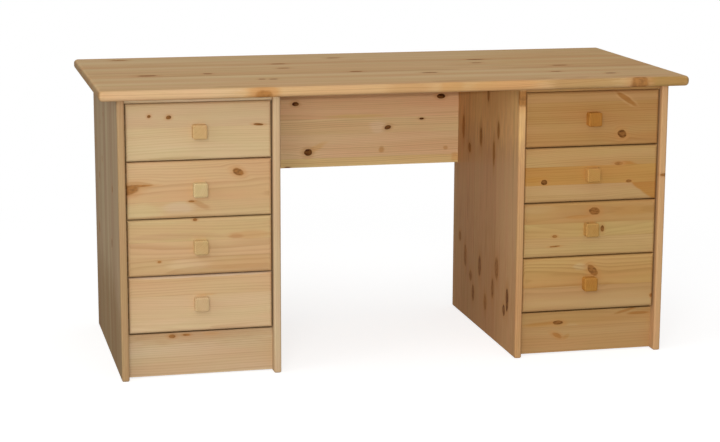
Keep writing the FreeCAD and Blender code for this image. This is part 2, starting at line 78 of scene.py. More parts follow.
HALO_COLOUR = screen(186, 128, 72)
SOUND_KNOT_COLOUR = screen(168, 112, 56)
DEAD_KNOT_COLOUR = screen(66, 29, 4)
GLUE_LINE_COLOUR = screen(140, 100, 60)
PLY_PALE = screen(214, 186, 146)
PLY_LATE = screen(180, 140, 96)
PLY_CROSSED = screen(168, 128, 86)
BEECH_PALE = screen(206, 168, 130)
BEECH_WARM = screen(186, 142, 104)
BEECH_FLECK = screen(142, 96, 62)
ZINC_DULL = screen(176, 176, 172)
ZINC_BRIGHT = screen(222, 222, 218)
WHITE = (1.0, 1.0, 1.0, 1.0)
END_GRAIN_SHADE = (0.66, 0.62, 0.58, 1.0)
KNOB_END_SHADE = (0.80, 0.76, 0.70, 1.0)

# Clear satin lacquer, which alone shines: the wood below it doesn't.
LACQUER_IOR = 1.45
LACQUER = {"IOR": LACQUER_IOR, "Specular IOR Level": 0.0,
           "Coat Weight": 0.09, "Coat Roughness": 0.30, "Coat IOR": LACQUER_IOR}

# A knot on a board: its middle along and across the board, half its length and height in millimetres,
# its turn in degrees, how dead and dark it is from 0 to 1, and its middle and half its size down from
# the face.
RIGHT_THROUGH = 1000
Knot = namedtuple("Knot", "along across length height turn dead below depth", defaults=(0, RIGHT_THROUGH))
# A patch of another tint, with the same places and sizes as a knot, how strong it is from 0 to 1,
# and how softly it ends, as a share of its size.
Patch = namedtuple("Patch", "along across length height turn tint strength softness below depth",
                   defaults=(1.0, 0.35, 0, RIGHT_THROUGH))

# Tints of single staves and patches, as shares of the red, green and blue light that the wood gives back.
PLAIN = (1.0, 1.0, 1.0, 1.0)
PALE = (1.03, 1.11, 1.08, 1.0)
CREAMY = (1.04, 1.09, 1.24, 1.0)
YELLOW = (0.99, 1.01, 0.88, 1.0)
PINK = (1.03, 0.99, 0.92, 1.0)
ROSY = (1.0, 0.92, 0.81, 1.0)
SHELL = (1.03, 1.0, 1.06, 1.0)
GOLD = (0.96, 0.89, 0.76, 1.0)
TAN = (0.90, 0.83, 0.75, 1.0)
ORANGE = (0.94, 0.76, 0.52, 1.0)
RUST = (0.95, 0.68, 0.36, 1.0)
DUN = (0.80, 0.76, 0.66, 1.0)
# Painted shade: this olive darkens the right end of the desktop's front edge, where the light falls off.
PAINTED_SHADE_OLIVE = (0.70, 0.66, 0.46, 1.0)
RUSSET = (0.82, 0.66, 0.50, 1.0)
# Painted light: this sunny tint lightens the top of the right inner side, which lies in the desktop's
# shade.
PAINTED_LIGHT_SUNNY = (1.33, 1.36, 1.18, 1.0)
BLOND = (1.22, 1.32, 1.60, 1.0)
# Painted shade: this umber darkens the lower part of the left outer side, as if it reflected a dark floor.
PAINTED_SHADE_UMBER = (0.74, 0.65, 0.50, 1.0)
COPPER = (1.03, 0.77, 0.41, 1.0)
MUSTARD = (0.97, 0.88, 0.58, 1.0)
BRASS = (1.12, 1.02, 0.79, 1.0)
# How far the wood turns pink or yellow from place to place within a stave.
BLUSH_LEAST = (0.99, 1.015, 0.985, 1.0)
BLUSH_MOST = (1.015, 0.985, 0.99, 1.0)

# The colour sockets of a Mix node share their names with its other sockets, so they go by their places.
MIX_SHARE = 0
MIX_FIRST = 6
MIX_SECOND = 7
MIX_RESULT = 2
NOISE_MIDDLE = 0.5


class Wire:
    """A value that runs through a node tree. Arithmetic with it adds Math nodes to that tree."""

    def __init__(self, net, socket):
        self.net = net
        self.socket = socket

    def __add__(self, other):
        return self.net.maths("ADD", self, other)

    def __sub__(self, other):
        return self.net.maths("SUBTRACT", self, other)

    def __rsub__(self, other):
        return self.net.maths("SUBTRACT", other, self)

    def __mul__(self, other):
        return self.net.maths("MULTIPLY", self, other)

    def __truediv__(self, other):
        return self.net.maths("DIVIDE", self, other)


class Net:
    """A node tree, with one short call for each kind of node that the finishes are made of."""

    def __init__(self, tree):
        self.tree = tree

    def put(self, socket, value):
        """Links a wire to a socket, or sets the socket to a plain value."""
        if isinstance(value, Wire):
            self.tree.links.new(value.socket, socket)
        else:
            socket.default_value = value

    def add(self, kind, values=None, **settings):
        """A node with its settings, and its input sockets by name."""
        node = self.tree.nodes.new(kind)
        for name, value in settings.items():
            setattr(node, name, value)
        for name, value in (values or {}).items():
            self.put(node.inputs[name], value)
        return node

    def fill(self, kind, *terms, **settings):
        """A node with its settings, and its input sockets in their order."""
        node = self.add(kind, **settings)
        for socket, term in zip(node.inputs, terms):
            self.put(socket, term)
        return node

    def out(self, node, name=0):
        return Wire(self, node.outputs[name])

    def here(self):
        """The point that is coloured, in the frame of its piece."""
        return self.out(self.add("ShaderNodeTexCoord"), "Object")

    def maths(self, operation, *terms):
        return self.out(self.fill("ShaderNodeMath", *terms, operation=operation))

    def vectors(self, operation, *terms):
        node = self.fill("ShaderNodeVectorMath", *terms, operation=operation)
        return self.out(node, "Value" if operation == "LENGTH" else "Vector")

    def split(self, vector):
        node = self.add("ShaderNodeSeparateXYZ", {"Vector": vector})
        return [self.out(node, axis) for axis in "XYZ"]

    def join(self, x, y, z):
        return self.out(self.add("ShaderNodeCombineXYZ", {"X": x, "Y": y, "Z": z}))

    def fade(self, value, start, end):
        """0 at start, 1 at end, and smooth in between."""
        node = self.add("ShaderNodeMapRange", {"Value": value, "From Min": start, "From Max": end},
                        interpolation_type="SMOOTHSTEP")
        return self.out(node)

    def noise(self, place, waves, detail=2.0, output="Fac"):
        """Soft noise with that many waves to the metre along each axis."""
        stretched = self.vectors("MULTIPLY", place, waves)
        node = self.add("ShaderNodeTexNoise", {"Vector": stretched, "Scale": 1.0, "Detail": detail})
        return self.out(node, output)

    def sway(self, place, waves, detail=2.0):
        """The same noise, as much below nothing as above it."""
        return self.noise(place, waves, detail) - NOISE_MIDDLE

    def chances(self, number):
        """Three random values from 0 to 1 that depend only on a number."""
        node = self.add("ShaderNodeTexWhiteNoise", {"W": number}, noise_dimensions="1D")
        return self.split(self.out(node, "Color"))

    def mix(self, share, first, second, blend="MIX"):
        """Two colours, mixed by a share."""
        node = self.add("ShaderNodeMix", data_type="RGBA", blend_type=blend)
        self.put(node.inputs[MIX_SHARE], share)
        self.put(node.inputs[MIX_FIRST], first)
        self.put(node.inputs[MIX_SECOND], second)
        return self.out(node, MIX_RESULT)

    def mix_shaders(self, share, first, second):
        return self.out(self.fill("ShaderNodeMixShader", share, first, second))

    def add_shaders(self, first, second):
        return self.out(self.fill("ShaderNodeAddShader", first, second))

    def grouped(self, group, values):
        return self.add("ShaderNodeGroup", values, node_tree=group)


SOCKETS = {"number": "NodeSocketFloat", "vector": "NodeSocketVector", "colour": "NodeSocketColor",
           "material": "NodeSocketMaterial", "geometry": "NodeSocketGeometry"}


def new_group(name, takes, gives, kind="ShaderNodeTree"):
    """A node group, with wires from its inputs and the sockets of its outputs."""
    tree = bpy.data.node_groups.new(name, kind)
    for label, socket in takes.items():
        tree.interface.new_socket(label, in_out="INPUT", socket_type=SOCKETS[socket])
    for label, socket in gives.items():
        tree.interface.new_socket(label, in_out="OUTPUT", socket_type=SOCKETS[socket])
    net = Net(tree)
    start = net.add("NodeGroupInput")
    end = net.add("NodeGroupOutput")
    return net, {label: net.out(start, label) for label in takes}, end.inputs


def blank_net(owner):
    """The emptied node tree of a material or a world."""
    owner.use_nodes = True
    owner.node_tree.nodes.clear()
    return Net(owner.node_tree)


# What a knot or patch is told about the point that is coloured, and about its own place, size and turn.
MARK_INPUTS = {"Place": "vector", "Centre": "vector", "Reach": "vector", "Turn": "number"}
# What each knot adds to, from knot to knot along a board.
KNOT_SUMS = {"Core": "number", "Halo": "number", "Dark": "number", "Shift": "number"}


def measure_mark(net, takes, uneven_waves):
    """Where a point lies from the middle of a knot or patch, in the mark's own turn, how far away that is,
    with 1 at the mark's edge, and how uneven the edge is there."""
    away = net.vectors("SUBTRACT", takes["Place"], takes["Centre"])
    turned = net.out(net.add("ShaderNodeVectorRotate", {"Vector": away, "Angle": takes["Turn"]},
                             rotation_type="Z_AXIS"))
    distance = net.vectors("LENGTH", net.vectors("DIVIDE", turned, takes["Reach"]))
    return turned, distance, net.sway(takes["Place"], uneven_waves)


def make_knot_group():
    """One knot: a core with rings of its own, a dark rim, a warm halo, and grain that parts round it.
    The sounder it is, the softer its edge. Distances from its middle are in shares of its size."""
    uneven_waves = (55, 110, 55)
    unevenness = 0.45
    core_inside = 0.88
    core_outside = 1.08
    sound_inside = 0.24
    sound_outside = 0.12
    sound_paleness = 0.25
    halo_inside = 0.8
    halo_outside = 2.3
    rim_inside = 0.72
    rim_middle = 0.92
    rim_outside = 1.12
    rim_darkness = 0.35
    ring_waves = 13.0
    ring_darkness = 0.06
    mottle_waves = (80, 150, 80)
    mottle_detail = 5.0
    mottle_low = 0.40
    mottle_high = 0.66
    mottle_middle = 0.4
    mottle_darkness = 0.40
    dead_darkness = 0.80
    grain_reach = 2.4
    net, takes, gives = new_group("pine knot", {**MARK_INPUTS, "Dead": "number", **KNOT_SUMS}, KNOT_SUMS)
    turned, distance, uneven = measure_mark(net, takes, uneven_waves)
    distance = distance + uneven * unevenness
    sound = 1.0 - takes["Dead"]
    core = net.fade(distance, sound * sound_outside + core_outside, core_inside - sound * sound_inside)
    halo = net.fade(distance, halo_outside, halo_inside)
    rim = net.fade(distance, rim_inside, rim_middle) * net.fade(distance, rim_outside, rim_middle)
    rings = net.maths("SINE", distance * ring_waves)
    mottle = net.fade(net.noise(takes["Place"], mottle_waves, mottle_detail), mottle_low, mottle_high)
    dark = takes["Dead"] * dead_darkness + rings * ring_darkness + rim * rim_darkness
    dark = (dark + (mottle - mottle_middle) * mottle_darkness) * core
    # The grain parts most beside the knot, upwards above it and downwards below it.
    off = net.split(turned)[1]
    reach = net.split(takes["Reach"])[1]
    nearness = distance / grain_reach
    fall = net.maths("EXPONENT", nearness * nearness * -1.0)
    bend = net.maths("TANH", off / reach) * reach * fall
    net.put(gives["Core"], net.maths("MAXIMUM", takes["Core"], core * (1.0 - sound * sound_paleness)))
    net.put(gives["Halo"], net.maths("MAXIMUM", takes["Halo"], halo))
    net.put(gives["Dark"], net.maths("MAXIMUM", takes["Dark"], dark))
    net.put(gives["Shift"], takes["Shift"] + bend)
    return net.tree


def make_patch_group():
    """A soft-edged patch of tinted wood, stretched along the grain. Some patches paint light or shade in
    place of a tint.
    """
    uneven_waves = (18, 90, 90)
    unevenness = 2.6
    edge = 0.9
    net, takes, gives = new_group(
        "pine patch",
        {**MARK_INPUTS, "Strength": "number", "Softness": "number",
         "Patch tint": "colour", "Tint": "colour"},
        {"Tint": "colour"})
    _, distance, uneven = measure_mark(net, takes, uneven_waves)
    distance = distance + uneven * unevenness * takes["Softness"]
    share = net.fade(distance, takes["Softness"] + edge, edge - takes["Softness"]) * takes["Strength"]
    net.put(gives["Tint"], net.mix(share, takes["Tint"], takes["Patch tint"]))
    return net.tree


def late_growth(net, takes, grain, heart_side, heart_below):
    """How strongly the late growth of a year's ring shows at a point. The rings lie round the heart of the
    stave, which wanders along it, and they part round the knots. Sizes are in metres."""
    ring_width = 4.6 * MM
    ring_unevenness = 1.5
    heart_across = 0.13
    heart_middle = 0.35
    heart_depth = 0.10
    heart_nearest = 0.014
    wander_waves = (1.5, 1.0, 1.0)
    wander_across = 0.045
    wander_depth = 0.030
    wobble_waves = (7.0, 40.0, 40.0)
    wobble_size = 2.2 * MM
    jitter_waves = (0.4, 1.0, 1.0)
    plain_detail = 1.0
    late_from = 0.30
    late_full = 0.90
    late_until = 0.94
    weakest_year = 0.4
    year_spread = 0.6
    # Steps from stave to stave, so that no two have the same noise.
    wander_step = 3.7
    jitter_step = 5.1
    year_step = 7.0
    stave = takes["Stave"]
    along, _, deep = net.split(grain)
    path = net.join(along, stave * wander_step, 0.0)
    wander = net.split(net.noise(path, wander_waves, plain_detail, "Color"))
    beside = takes["Within"] - takes["Shift"] - (heart_side - heart_middle) * heart_across
    beside = beside + (wander[0] - NOISE_MIDDLE) * wander_across
    below = deep + heart_below * heart_depth + heart_nearest + (wander[1] - NOISE_MIDDLE) * wander_depth
    distance = net.maths("SQRT", beside * beside + below * below)
    distance = distance + net.sway(grain, wobble_waves) * wobble_size
    years = distance / ring_width
    jitter = net.sway(net.join(years, stave * jitter_step, 0.0), jitter_waves, plain_detail)
    years = years + jitter * ring_unevenness
    season = net.maths("FRACT", years)
    late = net.fade(season, late_from, late_full) * net.fade(season, 1.0, late_until)
    year = net.chances(net.maths("FLOOR", years) + stave * year_step)[0]
    return late * (year * year_spread + weakest_year)


def wood_tone(net, takes, grain, warmth, strength, late):
    """The colour of the wood between pale and warm, with broad changes, dark rings and streaks that are
    a few millimetres wide."""
    broad_waves = (1.6, 16.0, 16.0)
    streak_waves = (2.2, 90.0, 90.0)
    streak_detail = 4.0
    streak_strength = 0.45
    stave_warmth = 0.55
    broad_warmth = 0.9
    pale_until = 0.25
    warm_from = 1.05
    weakest_ring = 0.20
    ring_spread = 0.20
    warm_share = warmth * stave_warmth + net.noise(grain, broad_waves) * broad_warmth
    wood = net.mix(net.fade(warm_share, pale_until, warm_from), takes["Pale"], takes["Warm"])
    ring_share = late * (strength * ring_spread + weakest_ring)
    ring_share = ring_share + net.sway(grain, streak_waves, streak_detail) * streak_strength
    return net.mix(net.maths("MAXIMUM", ring_share, 0.0), wood, takes["Ring"])


def make_pine_group():
    """Sawn pine in the solid: rings, streaks and fibres in each stave, glue lines and knots."""
    # Steps that set the staves apart, as if each came from another tree.
    other_chances = 0.5
    stave_step_along = 9.0
    stave_step_across = 5.0
    fibre_waves = (22.0, 1100.0, 1100.0)
    fibre_darkest = 0.93
    fibre_spread = 0.14
    blush_waves = (6.0, 28.0, 28.0)
    blush_low = 0.30
    blush_high = 0.70
    glue_line_edge = 0.5 * MM
    glue_line_full = 0.1 * MM
    glue_line_strength = 0.4
    halo_strength = 0.42
    least_roughness = 0.50
    fibre_roughness = 0.10
    late_smoothness = 0.06
    knot_smoothness = 0.05
    late_height = 0.5
    fibre_height = 0.5
    knot_height = 0.4
    net, takes, gives = new_group(
        "pine",
        {"Place": "vector", "Within": "number", "Stave": "number", "End": "number", "End shade": "colour",
         **KNOT_SUMS, "Tint": "colour", "Pale": "colour", "Warm": "colour", "Ring": "colour"},
        {"Colour": "colour", "Roughness": "number", "Height": "number"})
    along, across, deep = net.split(takes["Place"])
    heart_side, heart_below, onward = net.chances(takes["Stave"])
    warmth, strength, _ = net.chances(takes["Stave"] + other_chances)
    grain = net.join(along + onward * stave_step_along, across + heart_side * stave_step_across, deep)
    late = late_growth(net, takes, grain, heart_side, heart_below)
    fibre = net.noise(grain, fibre_waves)
    blush = net.fade(net.noise(grain, blush_waves), blush_low, blush_high)

    wood = wood_tone(net, takes, grain, warmth, strength, late)
    wood = net.mix(1.0, wood, takes["Tint"], "MULTIPLY")
    wood = net.mix(1.0, wood, net.mix(blush, BLUSH_LEAST, BLUSH_MOST), "MULTIPLY")
    wood = net.mix(takes["End"], wood, takes["End shade"], "MULTIPLY")
    fibre_light = fibre * fibre_spread + fibre_darkest
    wood = net.mix(1.0, wood, net.join(fibre_light, fibre_light, fibre_light), "MULTIPLY")
    glue = net.fade(takes["Within"], glue_line_edge, glue_line_full)
    wood = net.mix(glue * glue_line_strength, wood, GLUE_LINE_COLOUR)
    wood = net.mix(takes["Halo"] * halo_strength, wood, HALO_COLOUR)
    knot = net.mix(takes["Dark"], SOUND_KNOT_COLOUR, DEAD_KNOT_COLOUR)
    net.put(gives["Colour"], net.mix(takes["Core"], wood, knot))
    roughness = fibre * fibre_roughness + least_roughness - late * late_smoothness
    net.put(gives["Roughness"], roughness - takes["Core"] * knot_smoothness)
    net.put(gives["Height"], late * late_height + fibre * fibre_height + takes["Core"] * knot_height)
    return net.tree


KNOT_GROUP = make_knot_group()
PATCH_GROUP = make_patch_group()
PINE_GROUP = make_pine_group()


def new_material(name):
    """A material with its node tree and the shader that everything ends in."""
    material = bpy.data.materials.new(name)
    net = blank_net(material)
    shader = net.add("ShaderNodeBsdfPrincipled")
    net.add("ShaderNodeOutputMaterial", {"Surface": net.out(shader)})
    return material, net, shader


def finish_wood(net, shader, colour, roughness, height, relief, depth):
    """Leads a wood's colour, roughness and height to its shader. Relief is how strongly the height shows,
    and depth how deep it goes."""
    bump = net.add("ShaderNodeBump", {"Strength": relief, "Distance": depth, "Height": height})
    net.put(shader.inputs["Base Color"], colour)
    net.put(shader.inputs["Roughness"], roughness)
    net.put(shader.inputs["Normal"], net.out(bump))


def dress(node, material):
    """Gives a CAD node its material."""
    mesh = nodes[node].data
    mesh.materials.clear()
    mesh.materials.append(material)


# How boards lie. A lay names the axes along the grain, across the show face and down from it.
# A plus counts from the low side of the board's box, a minus from the high side.
FRONT_LAY = "+x+z+y"
FLAT_LAY = "+x+y+z"
TOP_LAY = "+x+y-z"
LOW_SIDE_LAY = "+z+y+x"
HIGH_SIDE_LAY = "+z+y-x"
DEEP_LAY = "+y+z+x"
BACK_LAY = "+z+x-y"

# One way through a board: its axis, its direction on that axis, where it starts and how long it is.
Way = namedtuple("Way", "axis direction start length")


def board_ways(node, lay):
    """The three ways through a board in the order of its lay, in metres."""
    low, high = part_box(node)
    ways = []
    for sign, letter in zip(lay[::2], lay[1::2]):
        axis = AXES.index(letter)
        length = high[axis] - low[axis]
        if sign == "+":
            ways.append(Way(axis, 1.0, low[axis], length))
        else:
            ways.append(Way(axis, -1.0, high[axis], length))
    return ways


def board_size(node, lay):
    """How long a board is along its grain and how wide across it, in millimetres."""
    along, across, _ = board_ways(node, lay)
    return round(along.length / MM, 1), round(across.length / MM, 1)


def board_place(net, node, lay):
    """Metres along the grain, across the show face and down from it, from the board's own corner."""
    ways = board_ways(node, lay)
    by_axis = sorted(ways)
    place = net.vectors("SUBTRACT", net.here(), [way.start for way in by_axis])
    parts = net.split(net.vectors("MULTIPLY", place, [way.direction for way in by_axis]))
    return net.join(*[parts[way.axis] for way in ways])


def end_grain(net, lay):
    """1 on faces that are cut across the grain, 0 on those along it."""
    along_until = 0.55
    across_from = 0.95
    facing = net.split(net.out(net.add("ShaderNodeTexCoord"), "Normal"))[AXES.index(lay[1])]
    return net.fade(net.maths("ABSOLUTE", facing), along_until, across_from)


def stave_nodes(net, across, glue_lines, seed, tints):
    """The number of the stave at a point, how far that is above the stave's lower glue line, and its tint.
    The lowest stave was sawn narrower, so that its own glue line lies outside the board."""
    lower_line = -9.0
    number = float(seed)
    start = lower_line * MM
    tint = tints[0] if tints else PLAIN
    for index, line in enumerate(glue_lines, start=1):
        past = net.maths("GREATER_THAN", across, line * MM)
        number = net.maths("ADD", number, past)
        start = net.maths("ADD", start, past * ((line - lower_line) * MM))
        if index < len(tints):
            tint = net.mix(past, tint, tints[index])
        lower_line = line
    return number, net.maths("SUBTRACT", across, start), tint


def mark_place(mark):
    """Where a knot or patch lies, how large it is and how it is turned, as its node group takes them."""
    return {"Centre": (mark.along * MM, mark.across * MM, mark.below * MM),
            "Reach": (mark.length * MM, mark.height * MM, mark.depth * MM),
            "Turn": math.radians(-mark.turn)}


def make_pine(node, lay, tone, seed, glue_lines=(), knots=(), patches=(), tints=(), lacquered=True,
              end_shade=END_GRAIN_SHADE):
    """The pine of one board, with its own staves, knots and patches, given to the board's CAD node.
    Tints go to the staves in the order of the glue lines."""
    relief = 0.35
    relief_depth = 0.12 * MM
    material, net, shader = new_material(f"{node}_pine")
    place = board_place(net, node, lay)
    stave, within, tint = stave_nodes(net, net.split(place)[1], glue_lines, seed, tints)
    sums = {name: 0.0 for name in KNOT_SUMS}
    for knot in knots:
        group = net.grouped(KNOT_GROUP, {"Place": place, **mark_place(knot), "Dead": knot.dead, **sums})
        sums = {name: net.out(group, name) for name in KNOT_SUMS}
    for patch in patches:
        group = net.grouped(PATCH_GROUP, {
            "Place": place, **mark_place(patch), "Strength": patch.strength, "Softness": patch.softness,
            "Patch tint": patch.tint, "Tint": tint})
        tint = net.out(group)
    pine = net.grouped(PINE_GROUP, {
        "Place": place, "Within": within, "Stave": stave, "End": end_grain(net, lay),
        "End shade": end_shade, **sums, "Tint": tint,
        "Pale": tone.pale, "Warm": tone.warm, "Ring": tone.ring})
    finish_wood(net, shader, net.out(pine, "Colour"), net.out(pine, "Roughness"), net.out(pine, "Height"),
                relief, relief_depth)
    if lacquered:
        for name, value in LACQUER.items():
            shader.inputs[name].default_value = value
    dress(node, material)


def glue_up(width, seed, narrowest=38, widest=68):
    """Glue lines between staves of mixed widths that fill a board of that width, in millimetres."""
    pick = random.Random(seed)
    lines = []
    edge = pick.uniform(narrowest, widest)
    while edge < width - narrowest / 2:
        lines.append(round(edge, 1))
        edge += pick.uniform(narrowest, widest)
    return lines


def scatter_knots(length, width, count, seed):
    """Knots where no particular ones are known: more small ones than large, some sound and some dead."""
    sizes = (3, 3, 4, 5, 7, 9)
    nearest = 0.04
    furthest = 0.96
    least_stretch = 1.2
    most_stretch = 2.0
    most_turn = 20
    soundest = 0.1
    deadest = 0.9
    pick = random.Random(seed)
    knots = []
    for _ in range(count):
        size = pick.choice(sizes)
        along = pick.uniform(nearest, furthest) * length
        across = pick.uniform(nearest, furthest) * width
        stretched = size * pick.uniform(least_stretch, most_stretch)
        turn = pick.uniform(-most_turn, most_turn)
        dead = pick.uniform(soundest, deadest)
        knots.append(Knot(along, across, stretched, size, turn, dead))
    return knots


def make_wide_board(node, lay, tone, seed, knots=(), scattered=0, patches=()):
    """The pine of a board that is glued up from many staves, with known knots and some scattered ones."""
    length, width = board_size(node, lay)
    knots = [*knots, *scatter_knots(length, width, scattered, seed)]
    make_pine(node, lay, tone, seed, glue_up(width, seed), knots, patches)


# Drawer fronts, from the top drawer down.
make_pine(
    "left_drawer_1_front", FRONT_LAY, STRAW, seed=11, glue_lines=(83,), tints=(PALE, TAN),
    knots=[Knot(59, 113, 5, 4, 20, 0.75), Knot(108, 109, 7, 5, 15, 0.8), Knot(334, 85, 13, 3, -4, 0.8)])
make_pine(
    "left_drawer_2_front", FRONT_LAY, STRAW, seed=21, glue_lines=(43,), tints=(GOLD, ROSY),
    knots=[Knot(281, 113, 15, 9, -22, 0.5), Knot(0, 75, 34, 13, 14, 0.35), Knot(30, 86, 36, 3, 0, 0.1),
           Knot(162, 42, 8, 2.5, 0, 0.5)],
    patches=[Patch(185, 33, 27, 8, -28, RUSSET, 0.8), Patch(125, 26, 48, 14, 0, PLAIN),
             Patch(30, 20, 70, 20, 0, YELLOW)])
make_pine(
    "left_drawer_3_front", FRONT_LAY, STRAW, seed=31, glue_lines=(46, 87), tints=(GOLD, PINK, YELLOW),
    knots=[Knot(79, 37, 5, 3, 0, 0.35), Knot(171, 141, 6, 3, 0, 0.6)],
    patches=[Patch(120, 101, 130, 9, 0, TAN, 0.6), Patch(312, 98, 60, 12, 0, ORANGE, 0.45),
             Patch(275, 95, 20, 6, 0, RUSSET, 0.7), Patch(150, 24, 55, 17, 0, PINK),
             Patch(290, 25, 85, 18, 0, ORANGE, 0.3)])
# The creamy band along the top of the lowest left front is a painted highlight on its rounded top edge.
make_pine(
    "left_drawer_4_front", FRONT_LAY, STRAW, seed=45, glue_lines=(95,), tints=(PINK, ROSY),
    patches=[Patch(197, 94, 24, 3, 2, ORANGE, 0.5), Patch(183, 144, 220, 5, 0, CREAMY)])
make_pine(
    "right_drawer_1_front", FRONT_LAY, AMBER, seed=51, glue_lines=(118,), tints=(PLAIN, CREAMY),
    knots=[Knot(265, 30, 13, 11, -40, 0.75)],
    patches=[Patch(275, 122, 44, 12, -34, BLOND, 0.6, 0.2), Patch(275, 122, 38, 7, -34, RUSSET, 0.9, 0.3)])
make_pine(
    "right_drawer_2_front", FRONT_LAY, HONEY, seed=61, glue_lines=(46, 95), tints=(CREAMY, ORANGE, PLAIN),
    knots=[Knot(53, 55, 9, 7, 0, 0.85), Knot(288, 50, 8, 4, 0, 0.6), Knot(258, 98, 13, 5, 0, 0.15)],
    patches=[Patch(272, 100, 11, 7, 0, CREAMY), Patch(336, 47, 95, 30, -38, ORANGE, 1.0, 0.1),
             Patch(30, 62, 40, 8, 0, RUST, 0.4)])
make_pine(
    "right_drawer_3_front", FRONT_LAY, HONEY, seed=71, glue_lines=(52, 90), tints=(PLAIN, PALE, PLAIN),
    knots=[Knot(195, 120, 16, 10, 0, 0.6), Knot(218, 72, 5, 9, 0, 0.65), Knot(86, 56, 7, 4, 0, 0.4),
           Knot(86, 29, 15, 2, 3, 0.5)],
    patches=[Patch(30, 130, 60, 12, 0, CREAMY, 0.6), Patch(150, 106, 36, 6, 0, ORANGE, 0.5),
             Patch(300, 118, 70, 14, 0, GOLD, 0.6)])
make_pine(
    "right_drawer_4_front", FRONT_LAY, HONEY, seed=81, glue_lines=(66,), tints=(CREAMY, ROSY),
    knots=[Knot(194, 106, 20, 10, -45, 0.5), Knot(362, 30, 5, 5, 0, 0.5)],
    patches=[Patch(345, 28, 12, 10, 0, CREAMY), Patch(186, 84, 20, 8, -20, ORANGE, 0.5),
             Patch(160, 118, 22, 10, 0, CREAMY, 0.8)])

# Plinths, and the panel across the knee space.
# The tan patch along the top of the left plinth is partly the wood's own tone and partly painted shade
# under the lowest drawer front.
make_pine(
    "left_plinth", FRONT_LAY, STRAW, seed=91,
    knots=[Knot(113, 102, 9, 5, 0, 0.4), Knot(150, 104, 10, 3, 0, 0.35)],
    patches=[Patch(186, 112, 300, 30, 0, TAN, 1.0, 0.5), Patch(215, 104, 25, 5, 0, ORANGE, 0.5)])
make_pine(
    "right_plinth", FRONT_LAY, HONEY, seed=101, glue_lines=(70,), tints=(CREAMY, PLAIN),
    knots=[Knot(110, 81, 15, 6, 0, 0.65), Knot(108, 46, 15, 6, -25, 0.0)],
    patches=[Patch(151, 64, 20, 16, 0, CREAMY), Patch(58, 79, 48, 5, 2, ORANGE, 0.6),
             Patch(135, 42, 10, 5, 40, ORANGE, 0.4), Patch(300, 104, 34, 4, 14, RUSSET, 0.9),
             Patch(338, 96, 34, 5, 0, RUSSET)])
make_pine(
    "modesty_panel", FRONT_LAY, FAWN, seed=111, glue_lines=(25, 93, 137, 206, 250),
    tints=(YELLOW, SHELL, PLAIN, SHELL, PLAIN, PLAIN),
    knots=[Knot(151, 182, 10, 6, 0, 0.95), Knot(576, 193, 13, 7, 0, 1.0), Knot(519, 130, 7, 3, 0, 0.9),
           Knot(419, 108, 10, 6, 15, 0.9), Knot(187, 43, 12, 10, 0, 0.95), Knot(128, 2, 8, 2, 0, 0.8)],
    patches=[Patch(401, 45, 9, 9, 0, RUSSET, 0.9), Patch(591, 43, 7, 6, 0, RUSSET, 0.8),
             Patch(390, 110, 26, 18, 0, CREAMY), Patch(208, 54, 34, 9, 25, ORANGE, 0.5),
             Patch(619, 15, 12, 14, 0, ORANGE, 0.7), Patch(330, 142, 90, 6, 0, YELLOW)])

# Rails. The front and rear rail of a pedestal have the same grain.
SIDE_SEED = {"left": 4, "right": 5}
RAIL_SEED = 120
RAIL_GLUE_LINE = 34
RAIL_TONE = {"left": STRAW, "right": HONEY}
for side in SIDES:
    for rail in ("front_rail", "rear_rail"):
        make_pine(f"{side}_{rail}", FLAT_LAY, RAIL_TONE[side], seed=RAIL_SEED + SIDE_SEED[side],
                  glue_lines=(RAIL_GLUE_LINE,))

# The desktop. Its front edge has two knots of its own and changes from cream through rose to olive; the
# olive at its right end is painted shade, where the light from the left falls off.
EDGE_REACH = 9
make_wide_board(
    "desk_top", TOP_LAY, WHEAT, seed=131,
    knots=[Knot(409, 0, 22, EDGE_REACH, 0, 0.05, 20, 14), Knot(1401, 0, 25, EDGE_REACH, 0, 0.2),
           Knot(153, 284, 26, 12, 0, 0.5), Knot(314, 298, 12, 10, 0, 0.5), Knot(119, 639, 24, 10, 0, 0.2),
           Knot(536, 475, 22, 9, 0, 0.35), Knot(531, 379, 18, 8, 0, 0.3), Knot(434, 161, 10, 7, 0, 0.5),
           Knot(462, 156, 12, 7, 0, 0.5), Knot(706, 268, 18, 9, 0, 0.45), Knot(712, 584, 20, 9, 0, 0.3),
           Knot(1094, 469, 26, 9, 0, 0.6), Knot(1074, 393, 16, 7, 0, 0.4), Knot(891, 208, 22, 8, 0, 0.45),
           Knot(1282, 295, 24, 9, 0, 0.4), Knot(1228, 165, 16, 7, 0, 0.4), Knot(1358, 104, 15, 7, 0, 0.6)],
    # The gold patch over the right end of the top is partly the wood's own tone and partly painted shade,
    # where the light from the left falls off.
    patches=[Patch(1390, 450, 330, 300, 0, GOLD, 0.75, 0.5), Patch(170, 0, 200, EDGE_REACH, 0, CREAMY),
             Patch(780, 0, 60, EDGE_REACH, 0, TAN, 0.7), Patch(1255, 0, 105, EDGE_REACH, 0, DUN),
             Patch(409, 0, 46, EDGE_REACH, 0, ORANGE, 0.6), Patch(897, 0, 34, EDGE_REACH, 0, ORANGE, 0.5),
             Patch(1035, 0, 100, EDGE_REACH, 0, ROSY), Patch(1480, 0, 66, EDGE_REACH, 0, PAINTED_SHADE_OLIVE)])

